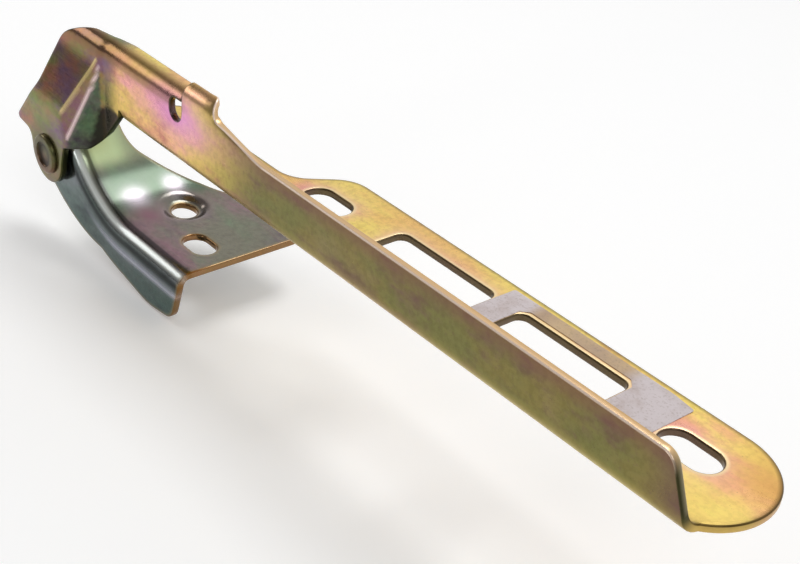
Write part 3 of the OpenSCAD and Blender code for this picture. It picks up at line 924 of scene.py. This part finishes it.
def zinc_coat(tree, where, tints, shares, satin=0.3):
    """One layer of the shared zinc finish: its base, warm, cool and deep tints, and the last three's shares."""
    tint, warm, cool, deep = [rgb(*t) for t in tints]
    warm_share, cool_share, deep_share = shares
    return put(
        tree,
        "ShaderNodeGroup",
        {"node_tree": zinc},
        Vector=where,
        Tint=tint,
        Warm=warm,
        Cool=cool,
        Deep=deep,
        Warm_Share=warm_share,
        Cool_Share=cool_share,
        Deep_Share=deep_share,
        Satin=satin,
    ).outputs


def layered(tree, mask, colour, layers):
    """A colour turned towards each layer's tint or coat in turn, by a mask and its share."""
    for attribute, share, tint in layers:
        over = tint if isinstance(tint, bpy.types.NodeSocket) else rgb(*tint)
        colour = mix(tree, mask(attribute, share), colour, over)
    return colour


def bump(tree, shader, strength, distance, height):
    """Joins a fine relief to a shader."""
    relief = put(tree, "ShaderNodeBump", Strength=strength, Distance=distance, Height=height)
    tree.links.new(relief.outputs[0], shader.inputs["Normal"])


def finish_metal(tree, shader, colour, rough, height):
    """Joins colour, roughness and a fine bump to a metal shader."""
    tree.links.new(colour, shader.inputs["Base Color"])
    tree.links.new(rough, shader.inputs["Roughness"])
    shader.inputs["Metallic"].default_value = METAL
    bump(tree, shader, 0.06, 0.0004, height)


# Arm: bright yellow on the flange, olive on the wall darkened as painted shade, blushing pink near the neck and slots,
# dark on the head, painted shade on the web and tucked foot, and painted highlights along ridges, folds and edges

arm_zinc, tree, shader, where, mask = new_material("yellow_zinc_arm")
blush_share = math_node(tree, "ADD", 0.32, mask("blush", 0.5))
flange_coat = zinc_coat(
    tree, where, [(250, 204, 122), (250, 182, 144), (252, 226, 122), (214, 152, 104)], (blush_share, 0.42, 0.2)
)
# The wall's olive tone, painted darker than the flange as shade
olive_shaded_wall_coat = zinc_coat(
    tree, where, [(140, 128, 74), (150, 134, 94), (128, 126, 74), (122, 98, 82)], (0.34, 0.36, 0.32)
)
neck_coat = zinc_coat(
    tree, where, [(255, 202, 132), (250, 168, 182), (246, 214, 112), (214, 140, 116)], (0.46, 0.5, 0.3)
)
head_coat = zinc_coat(
    tree, where, [(160, 126, 84), (172, 104, 88), (124, 136, 74), (124, 92, 120)], (0.46, 0.5, 0.34), 0.22
)
# Dark coat on the web: painted shade, as the web turns away from the light
shaded_web_coat = zinc_coat(
    tree, where, [(72, 98, 76), (104, 78, 104), (66, 104, 82), (52, 58, 52)], (0.4, 0.4, 0.3), 0.2
)
arm_layers = [
    # Olive wall coat with painted shade
    ("wall", 1.0, olive_shaded_wall_coat["Color"]),
    ("halo", 0.55, (240, 170, 190)),
    ("tip", 0.45, (220, 202, 110)),
    ("tip_side", 0.7, (214, 158, 88)),
    ("high", 0.58, (128, 86, 76)),
    ("tail", 0.6, (110, 76, 80)),
    # Painted highlight along the wall's lower fold
    ("hem", 0.4, (186, 168, 88)),
    ("neck", 1.0, neck_coat["Color"]),
    ("violet", 0.7, (232, 154, 226)),
    ("head", 1.0, head_coat["Color"]),
    # Painted shade on the web
    ("web", 0.85, shaded_web_coat["Color"]),
    ("strip", 0.35, (150, 104, 84)),
    ("ear", 0.6, (106, 88, 62)),
    # Painted shade, near black, on the tucked foot
    ("foot", 0.92, (34, 29, 25)),
    # Painted highlights along the neck's ridges
    ("ridge", 0.85, (250, 222, 150)),
    ("web_ridge", 0.9, (250, 220, 220)),
    # Painted shade along the lip's fold
    ("brow", 0.65, (128, 96, 54)),
    # Painted shade along the tab's edges
    ("tab", 0.6, (112, 90, 56)),
    # Cut edges' own dark tone with painted shade in the holes
    ("bore", 0.88, (54, 58, 28)),
    # Painted highlight beside the holes
    ("line", 0.75, (255, 236, 182)),
    ("rim", 0.6, (176, 142, 76)),
    # Painted shade along the flange's far edge
    ("outline", 0.92, (58, 45, 20)),
    # Painted highlights on the wall's top and end edges
    ("crest", 0.85, (226, 184, 126)),
    ("crest_line", 0.9, (255, 232, 216)),
    ("end_line", 0.8, (250, 232, 190)),
]
colour = layered(tree, mask, flange_coat["Color"], arm_layers)
rough = put(tree, "ShaderNodeMix", i0=mask("head"), i2=flange_coat["Roughness"], i3=head_coat["Roughness"]).outputs[0]
finish_metal(tree, shader, colour, rough, flange_coat["Height"])
# Less metallic along the painted highlight lines
tree.links.new(math_node(tree, "SUBTRACT", METAL, mask("bright", 0.55)), shader.inputs["Metallic"])
arm.data.materials.append(arm_zinc)

# Bracket: pale blue-green zinc with pink patches, with painted light and highlights on the ramp and fold and painted
# shade beside them

bracket_zinc, tree, shader, where, mask = new_material("pale_zinc_bracket")
base_coat = zinc_coat(
    tree, where, [(132, 130, 116), (152, 118, 130), (124, 142, 116), (112, 102, 108)], (0.34, 0.4, 0.25), 0.2
)
side_coat = zinc_coat(
    tree, where, [(98, 114, 112), (126, 126, 138), (82, 106, 100), (62, 74, 78)], (0.3, 0.4, 0.35), 0.2
)
bracket_layers = [
    ("side", 1.0, side_coat["Color"]),
    # Painted light on the ramp
    ("ramp", 0.8, (224, 246, 188)),
    # Painted shade across the ramp
    ("band", 0.85, (88, 110, 90)),
    # Painted highlights on the ramp
    ("glow", 0.75, (246, 234, 248)),
    ("blot", 0.75, (146, 98, 118)),
    ("ring", 0.35, (150, 122, 132)),
    # Painted dark reflections beside the fold
    ("fold_dark", 0.9, (24, 27, 27)),
    # Painted highlight along the fold
    ("fold_line", 0.9, (248, 255, 252)),
    # Painted highlight along the side flange
    ("seam", 0.72, (206, 206, 224)),
    # Cut edges' own brown tone with painted shade in the holes
    ("bore", 0.75, (150, 108, 58)),
    # Painted highlight beside the cut edges
    ("line", 0.3, (190, 160, 108)),
]
colour = layered(tree, mask, base_coat["Color"], bracket_layers)
finish_metal(tree, shader, colour, base_coat["Roughness"], base_coat["Height"])
# Less metallic under the painted fold highlight and the painted light on the ramp and side
dull = math_node(tree, "ADD", mask("fold_line", 0.75), mask("bare", 0.5))
tree.links.new(math_node(tree, "SUBTRACT", METAL, dull), shader.inputs["Metallic"])
bracket.data.materials.append(bracket_zinc)

# Rivet and washer: plain plated steel, with painted shade in the rivet's dish

rivet_steel, tree, shader, where, mask = new_material("rivet_plate")
coat = zinc_coat(tree, where, [(116, 98, 68), (128, 92, 74), (98, 102, 68), (84, 66, 60)], (0.38, 0.35, 0.3))
# Painted shade in the dish
colour = layered(tree, mask, coat["Color"], [("dish", 0.85, (36, 29, 24))])
finish_metal(tree, shader, colour, coat["Roughness"], coat["Height"])
rivet.data.materials.append(rivet_steel)

washer_steel, tree, shader, where, _ = new_material("washer_plate")
coat = zinc_coat(tree, where, [(170, 172, 164), (176, 166, 164), (158, 168, 156), (120, 118, 116)], (0.3, 0.3, 0.2))
finish_metal(tree, shader, coat["Color"], coat["Roughness"], coat["Height"])
washer.data.materials.append(washer_steel)

# Label: thin grey paper film, a little soiled and browned along the rail

label_film, tree, shader, where, mask = new_material("label_film")
soil = noise(tree, where, 130, 5, 0.62)
fibre = noise(tree, where, 1800, 2)
dots = ramp(tree, noise(tree, where, 1500, 2), 0.52, 0.7)
blotch = ramp(tree, noise(tree, where, 90, 3, 0.6), 0.3, 0.7)
stain = mix(tree, blotch, rgb(204, 172, 124), rgb(176, 146, 118))
colour = mix(tree, ramp(tree, soil, 0.42, 0.72), rgb(212, 200, 202), rgb(190, 172, 168))
colour = mix(tree, math_node(tree, "MULTIPLY", fibre, 0.3), colour, rgb(222, 216, 216))
colour = mix(tree, mask("rail", 0.9), colour, stain)
colour = mix(tree, math_node(tree, "MULTIPLY", dots, 0.3), colour, rgb(140, 118, 98))
tree.links.new(colour, shader.inputs["Base Color"])
shader.inputs["Roughness"].default_value = 0.55
bump(tree, shader, 0.15, 0.0003, soil)
label.data.materials.append(label_film)

# Floor: pale paper just below the part, a little brighter to the camera and in reflections

FLOOR_HALF, FLOOR_GAP, FLOOR_LIFT = 6, 0.0006, 0.17
WHITE = (1, 1, 1, 1)
floor_z = cad_box[0].z - FLOOR_GAP
corners = [(-FLOOR_HALF, -FLOOR_HALF), (FLOOR_HALF, -FLOOR_HALF), (FLOOR_HALF, FLOOR_HALF), (-FLOOR_HALF, FLOOR_HALF)]
floor_mesh = bpy.data.meshes.new("floor")
floor_mesh.from_pydata([(x, y, floor_z) for x, y in corners], [], [(0, 1, 2, 3)])
floor = bpy.data.objects.new("floor", floor_mesh)
bpy.context.scene.collection.objects.link(floor)
floor_paper = bpy.data.materials.new("floor_paper")
floor_paper.use_nodes = True
tree = floor_paper.node_tree
paper = tree.nodes["Principled BSDF"]
rays = tree.nodes.new("ShaderNodeLightPath")
seen = math_node(tree, "ADD", rays.outputs["Is Camera Ray"], rays.outputs["Is Glossy Ray"], True)
seen = math_node(tree, "ADD", seen, rays.outputs["Is Transmission Ray"], True)
tree.links.new(math_node(tree, "MULTIPLY", seen, FLOOR_LIFT), paper.inputs["Emission Strength"])
paper.inputs["Emission Color"].default_value = WHITE
paper.inputs["Base Color"].default_value = (0.95, 0.95, 0.95, 1)
paper.inputs["Roughness"].default_value = 0.9
paper.inputs["Specular IOR Level"].default_value = 0.1
floor_mesh.materials.append(floor_paper)

# A studio that is bright behind the object and dim in front of it

STUDIO_DIM, STUDIO_BACK = 0.22, 0.62
world = bpy.data.worlds.new("studio")
bpy.context.scene.world = world
world.use_nodes = True
tree = world.node_tree
sky = tree.nodes["Background"]
aim = put(tree, "ShaderNodeSeparateXYZ", Vector=tree.nodes.new("ShaderNodeTexCoord").outputs["Generated"])
back = ramp(tree, aim.outputs["Y"], 0.02, 0.5)
level = math_node(tree, "ADD", STUDIO_DIM, math_node(tree, "MULTIPLY", back, STUDIO_BACK))
sky.inputs["Color"].default_value = WHITE
tree.links.new(level, sky.inputs["Strength"])


def softbox(name, at, aim, width, height, power):
    """A rectangular lamp at a point in metres, facing another."""
    data = bpy.data.lights.new(name, "AREA")
    data.shape = "RECTANGLE"
    data.size, data.size_y = width, height
    data.energy = power
    lamp = bpy.data.objects.new(name, data)
    bpy.context.scene.collection.objects.link(lamp)
    back = np.array(at, float) - np.array(aim, float)
    back /= np.linalg.norm(back)
    right = np.cross([0, 0, 1.0], back)
    right /= np.linalg.norm(right)
    up = np.cross(back, right)
    lamp.matrix_world = Matrix([[*r] for r in np.stack([right, up, back], 1)]).to_4x4()
    lamp.location = at


softbox("top_softbox", (-0.02, 0.42, 1.1), (0.06, 0, 0), 0.5, 0.5, 4.0)
softbox("left_softbox", (-1.0, -0.42, 0.56), (0.02, 0, 0), 0.62, 0.5, 2.6)
softbox("front_strip", (0.06, -1.3, 0.22), (0.0, 0, 0.03), 0.14, 0.4, 1.1)
softbox("right_softbox", (1.0, -0.35, 1.0), (0.1, 0, 0), 0.7, 0.7, 3.0)

# Camera, placed by fitting the part's straight edges, windows and slots

CAMERA_AXES = ((0.63860, -0.45179, 0.62296), (0.76480, 0.28286, -0.57886), (0.08531, 0.84610, 0.52616))
CAMERA_AT = (0.37008, -0.23653, 0.24795)
camera_data = bpy.data.cameras.new("camera")
camera_data.lens = 63
camera_data.sensor_width = 36
camera_data.clip_start, camera_data.clip_end = 0.01, 50
camera = bpy.data.objects.new("camera", camera_data)
bpy.context.scene.collection.objects.link(camera)
camera.matrix_world = Matrix(CAMERA_AXES).to_4x4()
camera.location = CAMERA_AT
bpy.context.scene.camera = camera
bpy.context.scene.view_settings.view_transform = "Standard"
